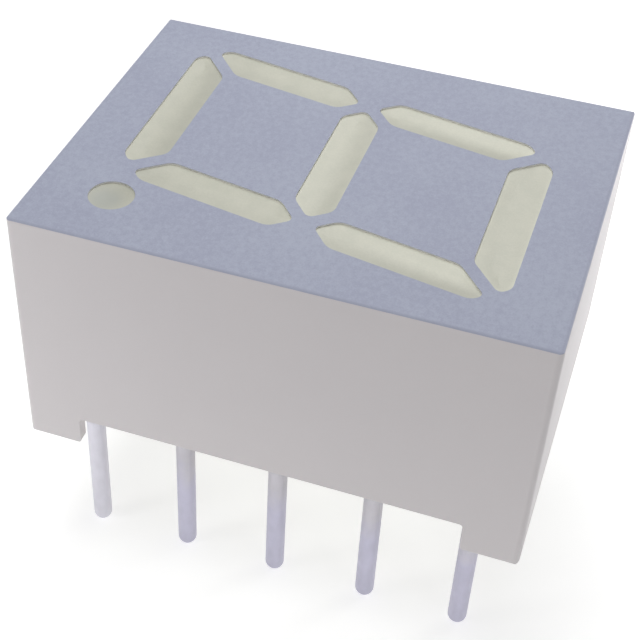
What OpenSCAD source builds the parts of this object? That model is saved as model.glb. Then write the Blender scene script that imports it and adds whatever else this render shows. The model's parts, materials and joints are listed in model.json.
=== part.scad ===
// One-digit seven segment display with a decimal point, for through-hole mounting.
// X points to the digit's right, Y to its top and Z out of its face. The origin is the
// middle of the pin pattern, in the plane that the feet stand on.

/* [Housing] */
// Width of the housing, across the digit
body_w = 9.8; // [9.8:0.1:14]
// Length of the housing, from below the digit to above it
body_l = 12.8; // [12.5:0.1:18]
// Depth of the housing, from its feet to its face
body_h = 6.8; // [5.4:0.1:9]
// Wall of the skirt along the two long sides
side_wall = 0.3; // [0.2:0.05:0.4]
// Wall of the skirt at the two ends
end_wall = 0.4; // [0.3:0.05:0.5]
// Rounding of the four upright corners
corner_r = 0.15; // [0.05:0.05:0.4]
// Rounding of the edges round the face
edge_r = 0.08; // [0.05:0.01:0.2]
// Rounding of the lower edges of the long walls
low_r = 0.04; // [0.02:0.01:0.1]
// Length of each foot along a long side
foot_w = 1.43; // [1:0.05:2]
// Height of the feet below the long walls
foot_h = 0.87; // [0.5:0.01:0.9]
// Rounding of the feet and of the recess between them
foot_r = 0.12; // [0.05:0.01:0.2]

/* [Face] */
// Thickness of the printed coat on the face
coat_t = 0.04; // [0.02:0.01:0.1]
// Height of the digit
digit_h = 9.9; // [8:0.1:10.5]
// Width of the digit before it leans
digit_w = 6.28; // [5.6:0.02:6.4]
// Width of a segment's stroke
stroke = 1.02; // [0.7:0.02:1.1]
// Gap between neighbouring segments
segment_gap = 0.35; // [0.2:0.01:0.6]
// Leg of the bevel across each corner of the digit
corner_cut = 0.78; // [0.7:0.02:1]
// Lean of the digit to the right
slant = 10; // [0:1:12]
// Distance from each corner of a segment at which its rounding starts
turn_l = 0.165; // [0.04:0.005:0.2]
// Diameter of the decimal point
point_d = 1.1; // [0.8:0.05:1.2]
// Distance of the decimal point's centre from the digit's edge
point_out = 0.87; // [0.8:0.01:1]
// Distance of the decimal point's centre below the middle of the lower bar
point_low = 0.06; // [0:0.01:0.08]

/* [Light wells] */
// Depth of the upright wall below each window
land_h = 0.3; // [0.1:0.05:0.6]
// Length of a well's throat
throat_l = 1.7; // [1.3:0.1:2.4]
// Width of a well's throat
throat_w = 0.8; // [0.6:0.05:0.95]
// Diameter of the decimal point's throat
point_throat_d = 1.3; // [1.2:0.05:1.4]
// Depth of the resin's rim below the face
rim_drop = 0.05; // [0.01:0.01:0.1]
// Hollow of the resin's surface below its rim
dish_h = 0.07; // [0.02:0.01:0.12]

/* [Circuit board] */
// Thickness of the board
board_t = 1; // [0.8:0.1:1.3]
// Clearance between the board and the skirt
board_clear = 0.1; // [0.05:0.01:0.2]
// Resin between the board and the reflector block
bed_t = 0.25; // [0.23:0.01:0.4]
// Height of the resin's back above the plane of the feet
fill_z = 1; // [1:0.05:1.2]
// Thickness of the resin behind the board
cover_t = 0.5; // [0.45:0.05:0.8]
// Resin drawn up along the skirt and the pins
creep_h = 0.1; // [0.02:0.01:0.12]
// Thickness of the copper
copper_t = 0.035; // [0.02:0.005:0.07]
// Width of a copper track
track_w = 0.22; // [0.15:0.01:0.3]
// Diameter of the copper ring round a pin
ring_d = 1.1; // [1.1:0.02:1.3]
// Diameter of the studs that the board seats on
stud_d = 0.5; // [0.3:0.05:0.5]

/* [Pins] */
// Distance between neighbouring pins
pitch = 2.54; // [2.5:0.01:2.54]
// Distance between the two rows of pins
row_span = 7.62; // [7.5:0.01:7.7]
// Diameter of a pin
pin_d = 0.5; // [0.4:0.02:0.6]
// Length of the pins below the feet
pin_out = 4; // [2.5:0.1:12]
// Width of a pin's squared root, as a share of its diameter
root_share = 0.9; // [0.85:0.01:0.95]
// Least thickness of solder round a root in its hole
solder_gap = 0.1; // [0.08:0.01:0.12]
// Height of a pin's end above the board
pin_head = 0.1; // [0.05:0.01:0.12]

/* [Light chips] */
// Width of a light chip
chip_w = 0.28; // [0.2:0.01:0.34]
// Height of a light chip
chip_t = 0.18; // [0.12:0.01:0.22]
// Thickness of the silver glue under a chip
glue_t = 0.02; // [0.01:0.005:0.03]
// Diameter of a bond wire
wire_d = 0.03; // [0.02:0.005:0.04]
// Rise of a bond wire's loop above the chip
loop_h = 0.14; // [0.08:0.01:0.25]
// Distance of a chip from its well's middle
chip_back = 0.15; // [0.1:0.01:0.2]
// Distance of a wire's far end from its well's middle
wire_out = 0.4; // [0.35:0.01:0.45]

/* [Hidden] */
$fn = 48;
pins_a_side = 5;
names = ["a", "b", "c", "d", "e", "f", "g", "point"];
point_i = 7;

face_z = body_h - coat_t;
back_z = fill_z + cover_t;
top_z = back_z + board_t;
block_z = top_z + bed_t;
pocket_w = body_w - 2 * side_wall;
pocket_l = body_l - 2 * end_wall;
pocket_r = 0.2;
board_w = pocket_w - 2 * board_clear;
board_l = pocket_l - 2 * board_clear;

half_w = digit_w / 2;
half_h = digit_h / 2;
col_x = half_w - stroke / 2;
row_y = half_h - stroke / 2;
corner_steps = 4;
side_share = 0.45;
point_r = point_d / 2;

root_w = pin_d * root_share;
root_r = root_w / sqrt(2);
root_z = fill_z - creep_h;
root_top = top_z + copper_t + pin_head;
hole_r = root_r + solder_gap;
copper_rim = 0.05;
joint_r = ring_d / 2 - copper_rim;
joint_h = 0.3;
joint_foot = 0.02;
dome_h = 0.07;
skirt_creep_w = 0.35;
root_creep_w = 0.3;
creep_foot = 0.04;
stud_x = 1.5;

die_pad_w = 0.4;
end_pad_d = 0.26;
ball_d = 0.08;
ball_h = 0.02;
bend_x = 0.6;
chip_z = top_z + copper_t + glue_t;
chip_top = chip_z + chip_t;
over = 0.05;

// ---- the digit's outline ----

function lean(p) = [p.x + p.y * tan(slant), p.y];
function flip_x(points) = [for (i = [len(points) - 1 : -1 : 0]) [-points[i].x, points[i].y]];
function flip_y(points) = [for (i = [len(points) - 1 : -1 : 0]) [points[i].x, -points[i].y]];

// A bevel is the line x + y = bevel, and a mitre is a line y - x = mitre(side) on one side of
// the digit's corner.
apart = segment_gap / sqrt(2);
bevel = half_w + half_h - corner_cut;
function mitre(side) = row_y - col_x + side * apart;

function top_bar() =
    let (in = half_h - stroke, m = mitre(1))
    let (end = bevel - half_h, tip = [(bevel - m) / 2, (bevel + m) / 2])
    [[m - in, in], [in - m, in], tip, [end, half_h], [-end, half_h], [-tip.x, tip.y]];

function middle_bar() =
    let (tip = col_x - apart, h = stroke / 2, end = tip - h)
    [[-end, -h], [end, -h], [tip, 0], [end, h], [-end, h], [-tip, 0]];

function upper_right() =
    let (in = half_w - stroke, m = mitre(-1), low = apart + stroke / 2)
    let (tip = [(bevel - m) / 2, (bevel + m) / 2])
    [[col_x, apart], [half_w, low], [half_w, bevel - half_w], tip, [in, in + m], [in, low]];

function upright(k) =
    k == 0 ? top_bar() :
    k == 1 ? upper_right() :
    k == 2 ? flip_y(upper_right()) :
    k == 3 ? flip_y(top_bar()) :
    k == 4 ? flip_x(flip_y(upper_right())) :
    k == 5 ? flip_x(upper_right()) :
    middle_bar();

function is_bar(k) = k == 0 || k == 3 || k == 6;
side_tip = (bevel + mitre(-1)) / 2;
side_mid = (apart + side_tip) / 2;
function upright_mid(k) =
    k == 0 ? [0, row_y] :
    k == 1 ? [col_x, side_mid] :
    k == 2 ? [col_x, -side_mid] :
    k == 3 ? [0, -row_y] :
    k == 4 ? [-col_x, -side_mid] :
    k == 5 ? [-col_x, side_mid] :
    k == 6 ? [0, 0] :
    [half_w + point_out, -row_y - point_low];
function well_mid(k) = lean(upright_mid(k));

// Length of a segment from tip to tip, before it leans
function span(k) =
    k == 6 ? 2 * (col_x - apart) :
    is_bar(k) ? bevel - mitre(1) :
    side_tip - apart;

function unit(v) = v / norm(v);
function turned(v, angle) = [v.x * cos(angle) - v.y * sin(angle), v.x * sin(angle) + v.y * cos(angle)];

// An outline that runs anticlockwise, with each corner replaced by an arc that starts and
// ends at the given distance from it, or nearer on a short side
function rounded(points, longest) = [
    for (i = [0 : len(points) - 1])
        let (b = points[i])
        let (back = points[(i + len(points) - 1) % len(points)] - b)
        let (next = points[(i + 1) % len(points)] - b)
        let (u = unit(back), v = unit(next))
        let (l = min(longest, side_share * norm(back), side_share * norm(next)))
        let (half = acos(u * v) / 2)
        let (centre = b + unit(u + v) * l / cos(half))
        let (start = b + u * l - centre)
        for (j = [0 : corner_steps]) centre + turned(start, j / corner_steps * (180 - 2 * half))
];

// A segment's outline, drawn in to these shares of its length and of its width
function drawn_in(k, along, across) =
    let (mid = upright_mid(k), f = is_bar(k) ? [along, across] : [across, along])
    rounded([for (p = upright(k)) lean([mid.x + (p.x - mid.x) * f.x, mid.y + (p.y - mid.y) * f.y])],
        turn_l * across);

function window(k) = drawn_in(k, 1, 1);
function throat(k) = drawn_in(k, throat_l / span(k), throat_w / stroke);

// ---- shared shapes ----

// A solid through outlines of equal length, each given as [points, height], from low to high
module loft(rings) {
    n = len(rings[0][0]);
    last = len(rings) - 1;
    polyhedron(
        points = [for (ring = rings) for (p = ring[0]) [p.x, p.y, ring[1]]],
        faces = concat(
            [[for (i = [0 : n - 1]) i]],
            [[for (i = [n - 1 : -1 : 0]) last * n + i]],
            [for (r = [0 : last - 1]) for (i = [0 : n - 1])
                [r * n + i, (r + 1) * n + i, r * n + (i + 1) % n]],
            [for (r = [0 : last - 1]) for (i = [0 : n - 1])
                [r * n + (i + 1) % n, (r + 1) * n + i, (r + 1) * n + (i + 1) % n]]
        )
    );
}

module rounded_square(w, l, r) {
    square([w - 2 * r, l], center = true);
    square([w, l - 2 * r], center = true);
    for (x = [-1, 1], y = [-1, 1])
        translate([x * (w / 2 - r), y * (l / 2 - r)])
            circle(r);
}

module slab(w, l, r, low, high) {
    translate([0, 0, low])
        linear_extrude(high - low)
            rounded_square(w, l, r);
}

// The corner left outside an arc of radius r, in the quarter where x and y are positive
module spandrel(r) {
    difference() {
        translate([-over, -over])
            square(r + over);
        translate([r, r])
            circle(r);
        translate([r, -2 * over])
            square([2 * over, r + 2 * over]);
        translate([-2 * over, r])
            square([r + 2 * over, 2 * over]);
    }
}

// ---- housing ----

// The block seen along one of its sides, rounded by top_r round the face and by low_r at the feet
module edge_profile(w, top_r, low_r) {
    difference() {
        translate([-w / 2, 0])
            square([w, body_h]);
        for (s = [-1, 1]) {
            translate([s * w / 2, body_h])
                to_side(s)
                    rotate(180)
                        spandrel(top_r);
            translate([s * w / 2, 0])
                to_side(s)
                    rotate(90)
                        spandrel(low_r);
        }
    }
}

module block() {
    intersection() {
        slab(body_w, body_l, corner_r, 0, body_h);
        rotate([90, 0, 0])
            linear_extrude(2 * body_l, center = true)
                edge_profile(body_w, edge_r, low_r);
        rotate([90, 0, 90])
            linear_extrude(2 * body_w, center = true)
                edge_profile(body_l, edge_r, foot_r);
    }
}

module well(k) {
    loft([
        [throat(k), block_z - over],
        [throat(k), block_z],
        [window(k), body_h - land_h],
        [window(k), body_h + over]
    ]);
}

module point_well() {
    translate(concat(well_mid(point_i), block_z - over))
        cylinder(d = point_throat_d, h = 2 * over);
    translate(concat(well_mid(point_i), block_z))
        cylinder(d1 = point_throat_d, d2 = point_d, h = body_h - land_h - block_z);
    translate(concat(well_mid(point_i), body_h - land_h - over))
        cylinder(d = point_d, h = land_h + 2 * over);
}

module recess_profile() {
    w = body_l - 2 * foot_w;
    difference() {
        translate([-w / 2, -1])
            square([w, foot_h + 1]);
        for (s = [-1, 1])
            translate([s * w / 2, foot_h])
                to_side(s)
                    rotate(180)
                        spandrel(foot_r);
    }
    for (s = [-1, 1])
        translate([s * w / 2, 0])
            to_side(s)
                spandrel(foot_r);
}

module to_side(s) {
    if (s > 0)
        children();
    else
        mirror([1, 0])
            children();
}

function stud_places() = [for (x = [-1, 1], y = [-1, 1])
    [x * stud_x, y * (board_l / 2 - stud_d / 2 - board_clear)]];

module housing() {
    color("ghostwhite")
        union() {
            difference() {
                block();
                translate([0, 0, face_z])
                    linear_extrude(1)
                        square([2 * body_w, 2 * body_l], center = true);
                slab(pocket_w, pocket_l, pocket_r, -1, block_z);
                rotate([90, 0, 90])
                    linear_extrude(2 * body_w, center = true)
                        recess_profile();
                for (k = [0 : 6])
                    well(k);
                point_well();
            }
            for (p = stud_places())
                translate([p.x, p.y, top_z])
                    cylinder(d = stud_d, h = bed_t + over);
        }
}

module face_coat() {
    color("lightsteelblue")
        difference() {
            block();
            translate([0, 0, -1])
                linear_extrude(face_z + 1)
                    square([2 * body_w, 2 * body_l], center = true);
            for (k = [0 : 6])
                translate([0, 0, face_z - over])
                    linear_extrude(coat_t + 2 * over)
                        polygon(window(k));
            translate(concat(well_mid(point_i), face_z - over))
                cylinder(d = point_d, h = coat_t + 2 * over);
        }
}

// ---- resin ----

// The surface hollows from the rim at the wall to the flat middle: [distance in, depth]
dish_steps = [for (t = [0, 0.04, 0.1, 0.18, 0.28, 0.4]) [t * stroke, (1 - (1 - 2 * t) ^ 2) * dish_h]];

module light_pipe(k) {
    rim_z = body_h - rim_drop;
    loft(concat(
        [[throat(k), block_z - over], [throat(k), block_z], [window(k), body_h - land_h]],
        [for (s = dish_steps)
            [drawn_in(k, 1 - 2 * s[0] / span(k), 1 - 2 * s[0] / stroke), rim_z - s[1]]]
    ));
}

module point_pipe() {
    rim_z = body_h - rim_drop;
    translate(concat(well_mid(point_i), 0))
        rotate_extrude()
            polygon(concat(
                [[0, block_z - over], [point_throat_d / 2, block_z - over], [point_throat_d / 2, block_z]],
                [[point_r, body_h - land_h]],
                [for (s = dish_steps) [point_r - s[0], rim_z - s[1]]],
                [[0, rim_z - dish_h]]
            ));
}

function pocket_ring(inset) =
    let (x = pocket_w / 2 - inset, y = pocket_l / 2 - inset)
    rounded([[-x, -y], [x, -y], [x, y], [-x, y]], pocket_r);

module epoxy_fill() {
    color("cornsilk")
        difference() {
            union() {
                slab(pocket_w, pocket_l, pocket_r, fill_z - creep_h, block_z);
                for (k = [0 : 6])
                    light_pipe(k);
                point_pipe();
            }
            difference() {
                loft([
                    [pocket_ring(-over), fill_z - creep_h - over],
                    [pocket_ring(0), fill_z - creep_h],
                    [pocket_ring(skirt_creep_w / 3), fill_z - creep_h / 3],
                    [pocket_ring(skirt_creep_w), fill_z]
                ]);
                for (i = [1 : 2 * pins_a_side])
                    translate(concat(pin_at(i), root_z))
                        cylinder(r1 = root_r + creep_foot, r2 = root_r + root_creep_w, h = creep_h);
            }
            board_shape();
            front_copper_shape();
            back_copper_shape();
            for (i = [1 : 2 * pins_a_side]) {
                pin_shape(i);
                joint_shape(i);
            }
            for (k = [0 : point_i]) {
                glue_shape(k);
                chip_shape(k);
                wire_shape(k);
            }
            for (p = stud_places())
                translate([p.x, p.y, top_z - over])
                    cylinder(d = stud_d, h = bed_t + 2 * over);
        }
}

// ---- pins ----

// Pins count down the digit's left side and up its right side
function pin_at(i) =
    let (left = i <= pins_a_side)
    let (n = left ? i : 2 * pins_a_side + 1 - i)
    [(left ? -1 : 1) * row_span / 2, ((pins_a_side + 1) / 2 - n) * pitch];

module root_shape(i) {
    translate(concat(pin_at(i), root_z))
        linear_extrude(root_top - root_z)
            square(root_w, center = true);
}

// A pin is round wire, pressed square where it stands in the resin and the board
module pin_shape(i) {
    root_shape(i);
    translate(concat(pin_at(i), pin_d / 2 - pin_out)) {
        cylinder(d = pin_d, h = root_z + pin_out - pin_d / 2);
        sphere(d = pin_d);
    }
}

module pin(i) {
    color("lightsteelblue")
        pin_shape(i);
}

// ---- circuit board ----

module board_shape() {
    difference() {
        slab(board_w, board_l, pocket_r, back_z, top_z);
        for (i = [1 : 2 * pins_a_side])
            translate(concat(pin_at(i), back_z - over))
                cylinder(r = hole_r, h = board_t + 2 * over);
    }
}

module circuit_board() {
    color("palegoldenrod")
        board_shape();
}

// Which way a wire runs from its chip: to the side from which its own track comes
function wire_way(k) =
    k == 0 ? [1, 0] :
    k == 3 || k == 6 ? [-1, 0] :
    k == 4 ? unit(lean([0, -1])) :
    k == point_i ? [0, 1] :
    unit(lean([0, 1]));
function chip_at(k) = well_mid(k) - wire_way(k) * chip_back;
function wire_end(k) = well_mid(k) + wire_way(k) * wire_out;

// The pin that each segment's track runs to
pin_of = [10, 9, 8, 5, 4, 2, 3, 7];
common_pins = [1, 6];

module track(points) {
    for (i = [0 : len(points) - 2]) {
        run = points[i + 1] - points[i];
        translate(points[i])
            rotate(atan2(run.y, run.x))
                translate([0, -track_w / 2])
                    square([norm(run), track_w]);
    }
    for (p = points)
        translate(p)
            circle(d = track_w);
}

module own_track(k) {
    from = pin_at(pin_of[k]);
    to = wire_end(k);
    if (k == 0 || k == 3)
        track([from, [to.x + sign(from.x) * bend_x, from.y], to]);
    else
        track([from, to]);
    translate(to)
        circle(d = end_pad_d);
}

module common_track() {
    trunk = chip_at(6).x;
    first = pin_at(common_pins[0]);
    last = pin_at(common_pins[1]);
    track([first, [trunk - bend_x, first.y], [trunk, chip_at(0).y], [trunk, chip_at(point_i).y]]);
    track([[trunk, chip_at(point_i).y], chip_at(point_i), last]);
    track([[trunk, chip_at(0).y], chip_at(0)]);
    for (k = [1 : 5])
        track([[trunk, chip_at(k).y], chip_at(k)]);
    for (k = [0 : point_i])
        translate(chip_at(k))
            square(die_pad_w, center = true);
}

module copper_rings() {
    for (i = [1 : 2 * pins_a_side])
        translate(pin_at(i))
            circle(d = ring_d);
}

module copper_holes() {
    for (i = [1 : 2 * pins_a_side])
        translate(pin_at(i))
            circle(r = hole_r);
}

module front_copper_shape() {
    translate([0, 0, top_z])
        linear_extrude(copper_t)
            difference() {
                union() {
                    copper_rings();
                    for (k = [0 : point_i])
                        own_track(k);
                    common_track();
                }
                copper_holes();
            }
}

module back_copper_shape() {
    translate([0, 0, back_z - copper_t])
        linear_extrude(copper_t)
            difference() {
                copper_rings();
                copper_holes();
            }
}

module front_copper() {
    color("goldenrod")
        front_copper_shape();
}

module back_copper() {
    color("goldenrod")
        back_copper_shape();
}

// Solder fills the hole round a pin and runs out over the copper at both ends
module joint_shape(i) {
    low = back_z - copper_t;
    high = top_z + copper_t;
    difference() {
        translate(concat(pin_at(i), 0))
            rotate_extrude()
                polygon([
                    [0, low - joint_h],
                    [root_r + joint_foot, low - joint_h],
                    [root_r + 0.3 * (joint_r - root_r), low - joint_h / 3],
                    [joint_r, low],
                    [hole_r, low],
                    [hole_r, high],
                    [joint_r, high],
                    [root_r + joint_foot, high + dome_h],
                    [0, high + dome_h]
                ]);
        root_shape(i);
    }
}

module solder_joints() {
    color("silver")
        for (i = [1 : 2 * pins_a_side])
            joint_shape(i);
}

// ---- light chips ----

module glue_shape(k) {
    translate(concat(chip_at(k), top_z + copper_t))
        cylinder(d = chip_w * 1.25, h = glue_t);
}

module chip_glue() {
    color("lightgray")
        for (k = [0 : point_i])
            glue_shape(k);
}

module chip_shape(k) {
    translate(concat(chip_at(k), chip_z + chip_t / 2))
        cube([chip_w, chip_w, chip_t], center = true);
}

module led_chip(k) {
    color("dimgray")
        chip_shape(k);
}

// The loop climbs steeply from the ball on the chip and comes down flat on its track
wire_steps = 10;
wire_sides = 6;
function wire_run(t) = (chip_back + wire_out) * t;
function wire_z(t) =
    let (low = top_z + copper_t + wire_d / 2, high = chip_top + ball_h / 2)
    high + (low - high) * t * t + loop_h * sin(180 * sqrt(t)) * (1 - t * 0.3);

function wire_ring(t) =
    let (d = 0.01)
    let (a = max(t - d, 0), b = min(t + d, 1))
    let (slope = atan2(wire_z(b) - wire_z(a), wire_run(b) - wire_run(a)))
    let (tilt = t == 0 ? 90 : t == 1 ? 0 : slope)
    [for (j = [0 : wire_sides - 1])
        let (across = wire_d / 2 * cos(360 * j / wire_sides), up = wire_d / 2 * sin(360 * j / wire_sides))
        [wire_run(t) - up * sin(tilt), across, wire_z(t) + up * cos(tilt)]];

module wire_shape(k) {
    way = wire_way(k);
    n = wire_sides;
    translate(concat(chip_at(k), 0))
        rotate(atan2(way.y, way.x)) {
            polyhedron(
                points = [for (s = [0 : wire_steps]) for (p = wire_ring(s / wire_steps)) p],
                faces = concat(
                    [[for (i = [n - 1 : -1 : 0]) i]],
                    [[for (i = [0 : n - 1]) wire_steps * n + i]],
                    [for (s = [0 : wire_steps - 1]) for (i = [0 : n - 1])
                        [s * n + i, s * n + (i + 1) % n, (s + 1) * n + i]],
                    [for (s = [0 : wire_steps - 1]) for (i = [0 : n - 1])
                        [s * n + (i + 1) % n, (s + 1) * n + (i + 1) % n, (s + 1) * n + i]]
                )
            );
            translate([0, 0, chip_top])
                cylinder(d = ball_d, h = ball_h);
        }
}

module bond_wire(k) {
    color("gold")
        wire_shape(k);
}

housing();
face_coat();
epoxy_fill();
circuit_board();
front_copper();
back_copper();
solder_joints();
chip_glue();
for (i = [1 : 2 * pins_a_side]) pin(i);
for (k = [0 : point_i]) led_chip(k);
for (k = [0 : point_i]) bond_wire(k);
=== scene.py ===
import json
import math

import bmesh
import bpy
from mathutils import Matrix, Vector


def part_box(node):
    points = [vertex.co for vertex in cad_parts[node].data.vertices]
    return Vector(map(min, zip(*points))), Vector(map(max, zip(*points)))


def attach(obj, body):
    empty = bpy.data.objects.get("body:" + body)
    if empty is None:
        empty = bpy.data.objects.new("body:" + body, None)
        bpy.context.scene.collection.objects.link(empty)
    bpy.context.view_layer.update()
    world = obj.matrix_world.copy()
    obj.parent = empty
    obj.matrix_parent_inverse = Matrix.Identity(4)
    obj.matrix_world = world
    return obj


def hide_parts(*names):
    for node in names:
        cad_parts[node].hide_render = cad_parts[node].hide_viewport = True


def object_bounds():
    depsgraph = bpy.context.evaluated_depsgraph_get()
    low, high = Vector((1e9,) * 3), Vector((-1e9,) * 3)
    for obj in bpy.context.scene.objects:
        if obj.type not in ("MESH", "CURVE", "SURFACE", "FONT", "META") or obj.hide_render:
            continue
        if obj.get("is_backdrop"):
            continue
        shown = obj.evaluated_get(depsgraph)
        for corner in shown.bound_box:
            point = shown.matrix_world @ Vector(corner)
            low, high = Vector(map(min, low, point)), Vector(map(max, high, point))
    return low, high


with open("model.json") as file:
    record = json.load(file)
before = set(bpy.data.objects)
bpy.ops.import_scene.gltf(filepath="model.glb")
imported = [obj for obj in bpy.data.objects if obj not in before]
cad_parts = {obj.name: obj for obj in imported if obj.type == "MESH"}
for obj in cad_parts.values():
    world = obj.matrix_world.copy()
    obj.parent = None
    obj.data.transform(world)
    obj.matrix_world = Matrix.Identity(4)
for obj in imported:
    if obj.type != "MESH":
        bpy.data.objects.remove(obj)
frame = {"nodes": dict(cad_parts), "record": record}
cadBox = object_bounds()
nodes = frame["nodes"]
mm = 0.001
segmentNames = ["a", "b", "c", "d", "e", "f", "g", "point"]
pinNames = ["pin_%d" % i for i in range(1, 11)]
print("frame loaded,", len(nodes), "nodes")


class Value:
    # A socket that can be used in ordinary maths
    def __init__(self, sheet, socket):
        self.sheet = sheet
        self.socket = socket

    def maths(self, operation, *others, clamp=False):
        return self.sheet.maths(operation, self, *others, clamp=clamp)

    def __add__(self, other):
        return self.maths("ADD", other)

    def __sub__(self, other):
        return self.maths("SUBTRACT", other)

    def __rsub__(self, other):
        return self.sheet.maths("SUBTRACT", other, self)

    def __mul__(self, other):
        return self.maths("MULTIPLY", other)

    def __truediv__(self, other):
        return self.maths("DIVIDE", other)

    def __abs__(self):
        return self.maths("ABSOLUTE")

    def __round__(self):
        return self.maths("ROUND")

    __radd__ = __add__
    __rmul__ = __mul__

    def clamped(self):
        return self.maths("ADD", 0.0, clamp=True)

    def between(self, low, high):
        # 0 below low, 1 above high and a smooth step between
        return self.sheet.node("ShaderNodeMapRange", {"interpolation_type": "SMOOTHSTEP"},
                               {"Value": self, "From Min": low, "From Max": high})[0]

    def spread(self, middle, width):
        # 0 to 1 becomes a range of this width round the middle
        return self * width + (middle - width / 2)

    def mixed(self, other, share):
        return self * (1 - share) + other * share


class Outputs:
    # What a node gives, by name or by number
    def __init__(self, sheet, made):
        self.sheet = sheet
        self.made = made

    def __getitem__(self, key):
        return Value(self.sheet, self.made.outputs[key])


class Sheet:
    # The nodes of a material or of the world
    def __init__(self, owner):
        owner.use_nodes = True
        self.owner = owner
        self.tree = owner.node_tree
        self.tree.nodes.clear()

    def node(self, kind, settings=None, sockets=None):
        made = self.tree.nodes.new(kind)
        for key, value in (settings or {}).items():
            setattr(made, key, value)
        for key, value in (sockets or {}).items():
            target = made.inputs[key]
            if isinstance(value, Value):
                self.tree.links.new(value.socket, target)
            elif target.type == "RGBA":
                target.default_value = (*value, 1)
            else:
                target.default_value = value
        return Outputs(self, made)

    def maths(self, operation, *values, clamp=False):
        return self.node("ShaderNodeMath", {"operation": operation, "use_clamp": clamp},
                         dict(enumerate(values)))[0]

    def place(self, stretch=1.0):
        # Where a point is on the piece, in millimetres
        coords = self.node("ShaderNodeTexCoord")["Object"]
        return self.node("ShaderNodeMapping", {},
                         {"Vector": coords, "Scale": (1 / mm, 1 / mm, stretch / mm)})["Vector"]

    def parts(self, place):
        return self.node("ShaderNodeSeparateXYZ", {}, {0: place})

    def noise(self, place, scale, detail=3.0, rough=0.5):
        return self.node("ShaderNodeTexNoise", {"noise_dimensions": "3D"},
                         {"Vector": place, "Scale": scale, "Detail": detail, "Roughness": rough})["Fac"]

    def blend(self, amount, low, high, kind="MIX"):
        # A colour between low and high
        return self.node("ShaderNodeMix", {"data_type": "RGBA", "blend_type": kind},
                         {0: amount, 6: low, 7: high})[2]

    def bump(self, height, depth):
        return self.node("ShaderNodeBump", {}, {"Height": height, "Distance": depth})["Normal"]

    def shownDirectly(self):
        # 1 where this is seen, straight or by way of gloss and glass, and 0 where it only gives light
        ray = self.node("ShaderNodeLightPath")
        return (ray["Is Camera Ray"] + ray["Is Glossy Ray"] + ray["Is Transmission Ray"]).clamped()

    def finish(self, **sockets):
        # Sockets by name, with _ for a space
        shader = self.node("ShaderNodeBsdfPrincipled", {},
                           {key.replace("_", " "): value for key, value in sockets.items()})
        self.node("ShaderNodeOutputMaterial", {}, {"Surface": shader["BSDF"]})
        return self.owner


def materialSheet(name):
    return Sheet(bpy.data.materials.new(name))


def dress(names, material):
    for name in names:
        slots = nodes[name].data.materials
        slots.clear()
        slots.append(material)


# Moulded white plastic: almost even, with faint clouds and the fine skin of the mould
housingLook = {
    "light": (0.692, 0.658, 0.667), "dark": (0.65, 0.617, 0.629),
    "clouds": {"scale": 0.45}, "grain": {"scale": 22.0, "rough": 0.6}, "grainShare": 0.5,
    "rough": 0.46, "roughSpread": 0.14, "depth": 0.0022 * mm, "ior": 1.52,
}


def housingPlastic():
    look = housingLook
    s = materialSheet("housingPlastic")
    at = s.place()
    clouds = s.noise(at, **look["clouds"])
    grain = s.noise(at, **look["grain"])
    return s.finish(Base_Color=s.blend(clouds.mixed(grain, look["grainShare"]), look["dark"], look["light"]),
                    Roughness=clouds.spread(look["rough"], look["roughSpread"]),
                    Normal=s.bump(grain, look["depth"]), IOR=look["ior"])


# The face is printed in grey. Along the rim of the face it is a little darker: painted shade for the
# rounded edge. On its own edge round each window it is pale: painted light on the window's wall. In
# millimetres, cutDepth is how far below the ink's top it turns pale, and cutInside keeps the outer edge of the
# face out of it
faceLook = {
    "light": (0.425, 0.457, 0.563), "dark": (0.352, 0.371, 0.486),
    "mottle": {"scale": 6.5, "detail": 5.0, "rough": 0.7}, "clouds": {"scale": 0.4, "detail": 2.0},
    "flecks": {"scale": 24.0, "detail": 2.0, "rough": 0.6}, "shares": (0.5, 0.2, 0.3), "contrast": (0.38, 0.62),
    "rim": (0.372, 0.39, 0.5), "rimWidth": 0.13, "rimWander": 0.06, "rimAmount": 0.75,
    "cut": (0.95, 0.95, 0.95), "cutDepth": (0.004, 0.012), "cutInside": (0.2, 0.3),
    "rough": 0.62, "roughSpread": 0.2, "depth": 0.004 * mm,
}


def facePrint():
    look = faceLook
    s = materialSheet("facePrint")
    at = s.place()
    mottle = s.noise(at, **look["mottle"])
    clouds = s.noise(at, **look["clouds"])
    flecks = s.noise(at, **look["flecks"])
    mottleShare, cloudShare, fleckShare = look["shares"]
    tone = mottle * mottleShare + clouds * cloudShare + flecks * fleckShare
    colour = s.blend(tone.between(*look["contrast"]), look["dark"], look["light"])
    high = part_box("face_coat")[1] / mm
    parts = s.parts(at)
    toSide = high.x - abs(parts["X"])
    toEnd = high.y - abs(parts["Y"])
    toRim = toSide.maths("MINIMUM", toEnd)
    # Painted shade: a darker band along the rim of the face
    rim = 1 - (toRim + (mottle - 0.5) * look["rimWander"]).between(0.0, look["rimWidth"])
    colour = s.blend(rim * look["rimAmount"], colour, look["rim"])
    # Painted light: the ink's own wall round each window is made pale, as if lit
    cut = (high.z - parts["Z"]).between(*look["cutDepth"]) * toRim.between(*look["cutInside"])
    colour = s.blend(cut, colour, look["cut"])
    return s.finish(Base_Color=colour, Roughness=mottle.spread(look["rough"], look["roughSpread"]),
                    Normal=s.bump(mottle, look["depth"]))
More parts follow.
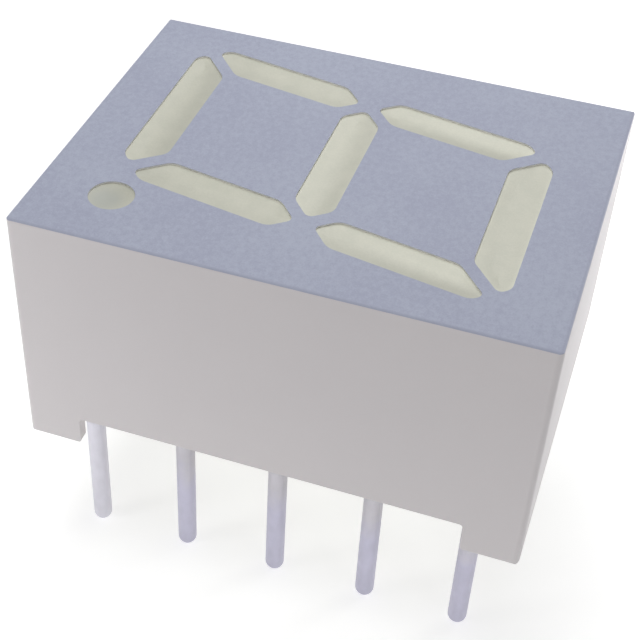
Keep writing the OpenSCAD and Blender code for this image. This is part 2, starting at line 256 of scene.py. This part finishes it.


# Milky cast resin. Across each segment it is painted pale on one side and grey on the other: painted
# light and painted shade for how light falls into the well, which gets deeper away from its far wall.
# The first number of columnFall and rowFall is how strongly it does so at the digit's middle and below, and the
# second how much more at the top row. The whole digit is greyer at its foot and paler at its head. Places are
# in millimetres, but footAt and headAt are in rows from the middle
resinLook = {
    "light": (0.632, 0.629, 0.533), "dark": (0.567, 0.571, 0.48),
    "milk": {"scale": 2.2, "detail": 4.0, "rough": 0.6}, "flecks": {"scale": 18.0, "rough": 0.6},
    "fleckShare": 0.4, "contrast": (0.3, 0.7),
    # pale and grey multiply the resin's colour: painted light and painted shade
    "pale": (1.13, 1.13, 1.13), "grey": (0.81, 0.81, 0.81), "across": (-0.25, 0.4), "mitre": 0.08,
    "columnFall": (0.3, 1.1), "rowFall": (0.5, -0.5), "front": (4, 6),
    "foot": 0.28, "footAt": (-1.05, -0.55), "head": 0.07, "headAt": (-0.2, 0.5),
    # The decimal point's narrow well is painted greyer in its middle: painted shade in the hollow
    "point": (0.432, 0.445, 0.4), "pointShift": (0.1, 0.03), "pointZ": 6.7, "pointFade": (0.15, 0.62),
    "rough": 0.425, "roughSpread": 0.15, "depth": 0.003 * mm,
}


def chipMiddle(name):
    low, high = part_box("led_chip_" + name)
    return (low + high) / (2 * mm)


def greyAndPaintedShadeInSegments(x, y):
    # From 0 on a segment's painted pale side to 1 on its painted grey side: painted light and painted shade in
    # the well, and greyer towards the digit's foot
    look = resinLook
    # The chips give the digit's rows, columns and lean
    top, upper, lower = (chipMiddle(name) for name in "abc")
    lean = (upper.x - lower.x) / (upper.y - lower.y)
    column = upper.x - lean * upper.y
    row = top.y
    upright = x - y * lean
    fromColumn = upright - upright.maths("SIGN") * column
    rows = y / row
    nearest = round(rows)
    fromRow = y - nearest * row
    # A point is in a column when it is further from its row than from the column's line
    along = abs(fromRow) * (1 - abs(nearest)) - fromRow * nearest
    inColumn = (along + abs(upright) - column).between(-look["mitre"], look["mitre"])
    height = rows.clamped()
    columnFall, columnMore = look["columnFall"]
    rowFall, rowMore = look["rowFall"]
    shadeAcrossColumn = (fromColumn.between(*look["across"]) - 0.5) * (height * columnMore + columnFall)
    shadeAcrossRow = (fromRow.between(*look["across"]) - 0.5) * (height * rowMore + rowFall)
    grey = shadeAcrossColumn * inColumn + shadeAcrossRow * (1 - inColumn) + 0.5
    atFoot = 1 - rows.between(*look["footAt"])
    atHead = rows.between(*look["headAt"])
    return grey + atFoot * look["foot"] - atHead * look["head"]


def castResin():
    look = resinLook
    s = materialSheet("castResin")
    at = s.place()
    milk = s.noise(at, **look["milk"])
    flecks = s.noise(at, **look["flecks"])
    tone = milk.mixed(flecks, look["fleckShare"])
    colour = s.blend(tone.between(*look["contrast"]), look["dark"], look["light"])
    parts = s.parts(at)
    # Painted light and painted shade across each segment, multiplied into the resin near its front
    shade = s.blend(greyAndPaintedShadeInSegments(parts["X"], parts["Y"]), look["pale"], look["grey"])
    colour = s.blend(parts["Z"].between(*look["front"]), colour, shade, "MULTIPLY")
    point = chipMiddle("point")
    middle = (point.x + look["pointShift"][0], point.y + look["pointShift"][1], look["pointZ"])
    away = s.node("ShaderNodeVectorMath", {"operation": "DISTANCE"}, {0: at, 1: middle})["Value"]
    # Painted shade in the middle of the decimal point's well
    colour = s.blend(1 - away.between(*look["pointFade"]), colour, look["point"])
    return s.finish(Base_Color=colour, Roughness=milk.spread(look["rough"], look["roughSpread"]),
                    Normal=s.bump(flecks, look["depth"]))


# Dull tin on round wire. It is paler near the body, where the solder bath didn't reach. The two pins at
# one end are painted brighter: painted light. Heights and places are in millimetres
tinLook = {
    "pale": (0.51, 0.495, 0.53), "grey": (0.505, 0.495, 0.60), "bright": (0.63, 0.62, 0.68),
    "paleFrom": (-1.7, -0.5), "wander": 1.6, "brightTo": (-4.6, -3),
    "clouds": {"scale": 1.6}, "fine": {"scale": 8.0}, "stretch": 0.35, "fineShare": 0.4, "contrast": (0.3, 0.7),
    "tones": ((0.95, 0.95, 0.95), (1.05, 1.05, 1.05)),
    "rough": 0.46, "roughSpread": 0.12, "metal": 0.8, "depth": 0.0015 * mm,
}


def tinnedWire():
    look = tinLook
    s = materialSheet("tinnedWire")
    at = s.place()
    clouds = s.noise(at, **look["clouds"])
    fine = s.noise(s.place(look["stretch"]), **look["fine"])
    parts = s.parts(at)
    pale = (parts["Z"] + (clouds - 0.5) * look["wander"]).between(*look["paleFrom"])
    colour = s.blend(pale, look["grey"], look["pale"])
    # Painted light: the two pins at one end are made brighter
    colour = s.blend(1 - parts["Y"].between(*look["brightTo"]), colour, look["bright"])
    tone = s.blend(clouds.mixed(fine, look["fineShare"]).between(*look["contrast"]), *look["tones"])
    return s.finish(Base_Color=s.blend(1.0, colour, tone, "MULTIPLY"), Metallic=look["metal"],
                    Roughness=fine.spread(look["rough"], look["roughSpread"]),
                    Normal=s.bump(fine, look["depth"]))


# The hidden pieces: light and dark colour, scale of the marks, roughness, metal, and depth in millimetres
plainLooks = {
    "glassLaminate": ((0.72, 0.66, 0.42), (0.58, 0.52, 0.31), 6.0, 0.5, 0.0, 0.004),
    "etchedCopper": ((0.87, 0.63, 0.37), (0.74, 0.50, 0.27), 5.0, 0.3, 1.0, 0.002),
    "brightSolder": ((0.76, 0.77, 0.79), (0.62, 0.63, 0.66), 4.0, 0.28, 1.0, 0.004),
    "silverGlue": ((0.70, 0.70, 0.72), (0.48, 0.48, 0.50), 40.0, 0.6, 0.6, 0.003),
    "cutCrystal": ((0.34, 0.27, 0.24), (0.22, 0.16, 0.15), 25.0, 0.18, 0.0, 0.0005),
    "drawnGold": ((0.96, 0.78, 0.36), (0.88, 0.68, 0.29), 40.0, 0.2, 1.0, 0.0005),
}
plainMarks = {
    "marks": {"detail": 4.0, "rough": 0.6}, "cloudScale": 0.3, "clouds": {"detail": 2.0}, "cloudShare": 0.4,
    "contrast": (0.3, 0.7), "roughSpread": 0.16,
}


def plain(name):
    look = plainMarks
    light, dark, scale, rough, metal, depth = plainLooks[name]
    s = materialSheet(name)
    at = s.place()
    marks = s.noise(at, scale, **look["marks"])
    clouds = s.noise(at, scale * look["cloudScale"], **look["clouds"])
    tone = marks.mixed(clouds, look["cloudShare"]).between(*look["contrast"])
    return s.finish(Base_Color=s.blend(tone, dark, light), Metallic=metal,
                    Roughness=marks.spread(rough, look["roughSpread"]), Normal=s.bump(marks, depth * mm))


resin = castResin()
tin = tinnedWire()
dress(["housing"], housingPlastic())
dress(["face_coat"], facePrint())
dress(["epoxy_fill"], resin)
dress(pinNames, tin)
dress(["circuit_board"], plain("glassLaminate"))
dress(["front_copper", "back_copper"], plain("etchedCopper"))
dress(["solder_joints"], plain("brightSolder"))
dress(["chip_glue"], plain("silverGlue"))
dress(["led_chip_" + n for n in segmentNames], plain("cutCrystal"))
dress(["bond_wire_" + n for n in segmentNames], plain("drawnGold"))
print("finishes done")


def addObject(name, data):
    made = bpy.data.objects.new(name, data)
    bpy.context.scene.collection.objects.link(made)
    return made


def addMesh(bm, name, material):
    mesh = bpy.data.meshes.new(name)
    bm.to_mesh(mesh)
    bm.free()
    mesh.materials.append(material)
    return addObject(name, mesh)


def addPiece(bm, name, material, smoothTo, join):
    # Edges that turn by up to smoothTo degrees are shaded smooth
    bmesh.ops.remove_doubles(bm, verts=bm.verts, dist=join)
    bmesh.ops.recalc_face_normals(bm, faces=bm.faces)
    for face in bm.faces:
        face.smooth = True
    for edge in bm.edges:
        edge.smooth = edge.calc_face_angle(0) < math.radians(smoothTo)
    piece = addMesh(bm, name, material)
    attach(piece, "root")
    return piece


# The casting again, with its facets run together and the hollow in each window relaxed, so that it
# shades evenly. The points that are relaxed lie between these two depths below the hollow's rim
castingLook = {
    "relaxed": (0.001 * mm, 0.1 * mm), "times": 20, "factor": 0.5,
    "smoothTo": 40, "join": 0.0002 * mm,
}


def makeCasting():
    look = castingLook
    bm = bmesh.new()
    bm.from_mesh(nodes["epoxy_fill"].data)
    bmesh.ops.remove_doubles(bm, verts=bm.verts, dist=look["join"])
    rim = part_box("epoxy_fill")[1].z
    shallow, deep = look["relaxed"]
    hollow = [v for v in bm.verts if rim - deep < v.co.z < rim - shallow]
    for _ in range(look["times"]):
        bmesh.ops.smooth_vert(bm, verts=hollow, factor=look["factor"],
                              use_axis_x=True, use_axis_y=True, use_axis_z=True)
    piece = addPiece(bm, "resin_casting", resin, look["smoothTo"], look["join"])
    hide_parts("epoxy_fill")


makeCasting()
print("casting done")

# Round wire with a rounded tip, pressed square from the resin up. The higher its squareness, the
# sharper the square's corners
pinLook = {
    "sides": 40, "tipShare": 0.96, "tipSteps": 9,
    "neck": 0.05 * mm, "squareness": 10, "squareShare": 0.9, "headBevel": 0.03 * mm, "headSteps": 2,
    "smoothTo": 30, "join": 0.0005 * mm,
}
stem = next(m for m in frame["record"]["mounts"] if m["name"] == "pin_1_stem")


def makePin(name):
    look = pinLook
    low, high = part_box(name)
    radius = (high.x - low.x) / 2
    x, y = (low.x + high.x) / 2, (low.y + high.y) / 2
    rootZ = low.z + radius + stem["dims"]["length_mm"] * mm
    bm = bmesh.new()
    bmesh.ops.create_cone(bm, cap_ends=True, segments=look["sides"], radius1=radius, radius2=radius,
                          depth=rootZ - low.z)
    bmesh.ops.translate(bm, verts=bm.verts, vec=(x, y, (rootZ + low.z) / 2))
    foot, head = sorted((f for f in bm.faces if len(f.verts) > 4), key=lambda f: f.calc_center_median().z)
    tip = list(foot.edges)
    for height in (rootZ + look["neck"], high.z):
        grown = bmesh.ops.extrude_face_region(bm, geom=[head])["geom"]
        bmesh.ops.delete(bm, geom=[head], context="FACES_ONLY")
        head = next(g for g in grown if isinstance(g, bmesh.types.BMFace))
        for v in head.verts:
            # The outline of a square with soft corners, at the vertex's own bearing
            bearing = math.atan2(v.co.y - y, v.co.x - x)
            power = look["squareness"]
            reach = (abs(math.cos(bearing)) ** power + abs(math.sin(bearing)) ** power) ** (-1 / power)
            reach *= radius * look["squareShare"]
            v.co = (x + reach * math.cos(bearing), y + reach * math.sin(bearing), height)
    bmesh.ops.bevel(bm, geom=list(head.edges), offset=look["headBevel"], segments=look["headSteps"],
                    profile=0.5, affect="EDGES", material=-1)
    bmesh.ops.bevel(bm, geom=tip, offset=radius * look["tipShare"], segments=look["tipSteps"],
                    profile=0.5, affect="EDGES", material=-1)
    piece = addPiece(bm, name + "_wire", tin, look["smoothTo"], look["join"])
    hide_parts(name)


for name in pinNames:
    makePin(name)
print("pins done")

# Square soft lamps, in millimetres. A lamp's power is given for a white card at the aim, facing it
studio = {
    "world": 0.096,
    "aim": (0, 0, 2),
    "lamps": {
        "high": {"at": (5, -9, 57), "size": 30, "power": 0.353},
        "far": {"at": (-30, 0, 44), "size": 30, "power": 0.233},
        "fill": {"at": (20, -24, 2), "size": 8, "power": 0.185},
        "near": {"at": (54, 14, 2), "size": 24, "power": 0.096},
        "corner": {"at": (30, 42, 4), "size": 20, "power": 0.12},
        "end": {"at": (-20, 20, 3), "size": 8, "power": 0.235},
        "back": {"at": (-50, 4, -2), "size": 14, "power": 0.168},
    },
}


def makeLamp(name, at, size, power):
    light = bpy.data.lights.new(name, "AREA")
    light.shape = "SQUARE"
    light.size = size * mm
    away = (Vector(at) - Vector(studio["aim"])) * mm
    light.energy = power * 4 * math.pi * away.length_squared
    lamp = addObject(name, light)
    lamp.location = Vector(at) * mm
    lamp.rotation_euler = away.to_track_quat("Z", "Y").to_euler()
    lamp.visible_camera = False


for name, look in studio["lamps"].items():
    makeLamp(name, **look)


def makeWorld():
    world = bpy.data.worlds.new("studio")
    s = Sheet(world)
    strength = s.shownDirectly() * (1 - studio["world"]) + studio["world"]
    back = s.node("ShaderNodeBackground", {}, {"Color": (1, 1, 1), "Strength": strength})["Background"]
    s.node("ShaderNodeOutputWorld", {}, {"Surface": back})
    bpy.context.scene.world = world


makeWorld()

cameraView = {
    "at": (27.028, 7.351, 26.107), "ahead": (-0.7079, -0.2364, -0.6656), "right": (-0.3348, 0.942, 0.0216),
    "lens": 78.93, "sensor": 36, "shift": (0.0827, 0.0227), "clip": (1, 2000),
}


def makeCamera():
    look = cameraView
    data = bpy.data.cameras.new("camera")
    data.sensor_width = look["sensor"]
    data.lens = look["lens"]
    data.shift_x, data.shift_y = look["shift"]
    data.clip_start, data.clip_end = (c * mm for c in look["clip"])
    ahead = Vector(look["ahead"]).normalized()
    right = Vector(look["right"])
    right = (right - ahead * right.dot(ahead)).normalized()
    turn = Matrix((right, right.cross(ahead), -ahead)).transposed().to_4x4()
    camera = addObject("camera", data)
    camera.matrix_world = Matrix.Translation(Vector(look["at"]) * mm) @ turn
    bpy.context.scene.camera = camera


makeCamera()

# A pale card that fades to white away from the object and sends some light up to it. The size is
# half its side in metres, and the other distances are in millimetres from the object's middle
floorLook = {
    "size": 1.0, "colour": (0.67, 0.67, 0.67), "glow": 0.62, "fade": (22, 60), "lit": 0.44, "litFade": (8, 32),
}


def makeFloor():
    look = floorLook
    s = materialSheet("floorCard")
    diffuse = s.node("ShaderNodeBsdfDiffuse", {}, {"Color": look["colour"]})["BSDF"]
    away = s.node("ShaderNodeVectorMath", {"operation": "LENGTH"}, {0: s.place()})["Value"]
    shown = away.between(*look["fade"]) * (1 - look["glow"]) + look["glow"]
    lit = (1 - away.between(*look["litFade"])) * look["lit"]
    direct = s.shownDirectly()
    strength = direct * shown + (1 - direct) * lit
    glow = s.node("ShaderNodeEmission", {}, {"Color": (1, 1, 1), "Strength": strength})["Emission"]
    card = s.node("ShaderNodeAddShader", {}, {0: diffuse, 1: glow})[0]
    # From below the card isn't there, so that the underside can be seen
    under = s.node("ShaderNodeNewGeometry")["Backfacing"]
    clear = s.node("ShaderNodeBsdfTransparent")["BSDF"]
    surface = s.node("ShaderNodeMixShader", {}, {0: under, 1: card, 2: clear})[0]
    s.node("ShaderNodeOutputMaterial", {}, {"Surface": surface})
    bm = bmesh.new()
    bmesh.ops.create_grid(bm, x_segments=1, y_segments=1, size=look["size"])
    bmesh.ops.translate(bm, verts=bm.verts, vec=(0, 0, cadBox[0].z))
    addMesh(bm, "floor", s.owner)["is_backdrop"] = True


makeFloor()
bpy.context.scene.view_settings.view_transform = "Standard"
print("studio done")

{"cad": [list(c) for c in cadBox], "visual": [list(c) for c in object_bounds()]}
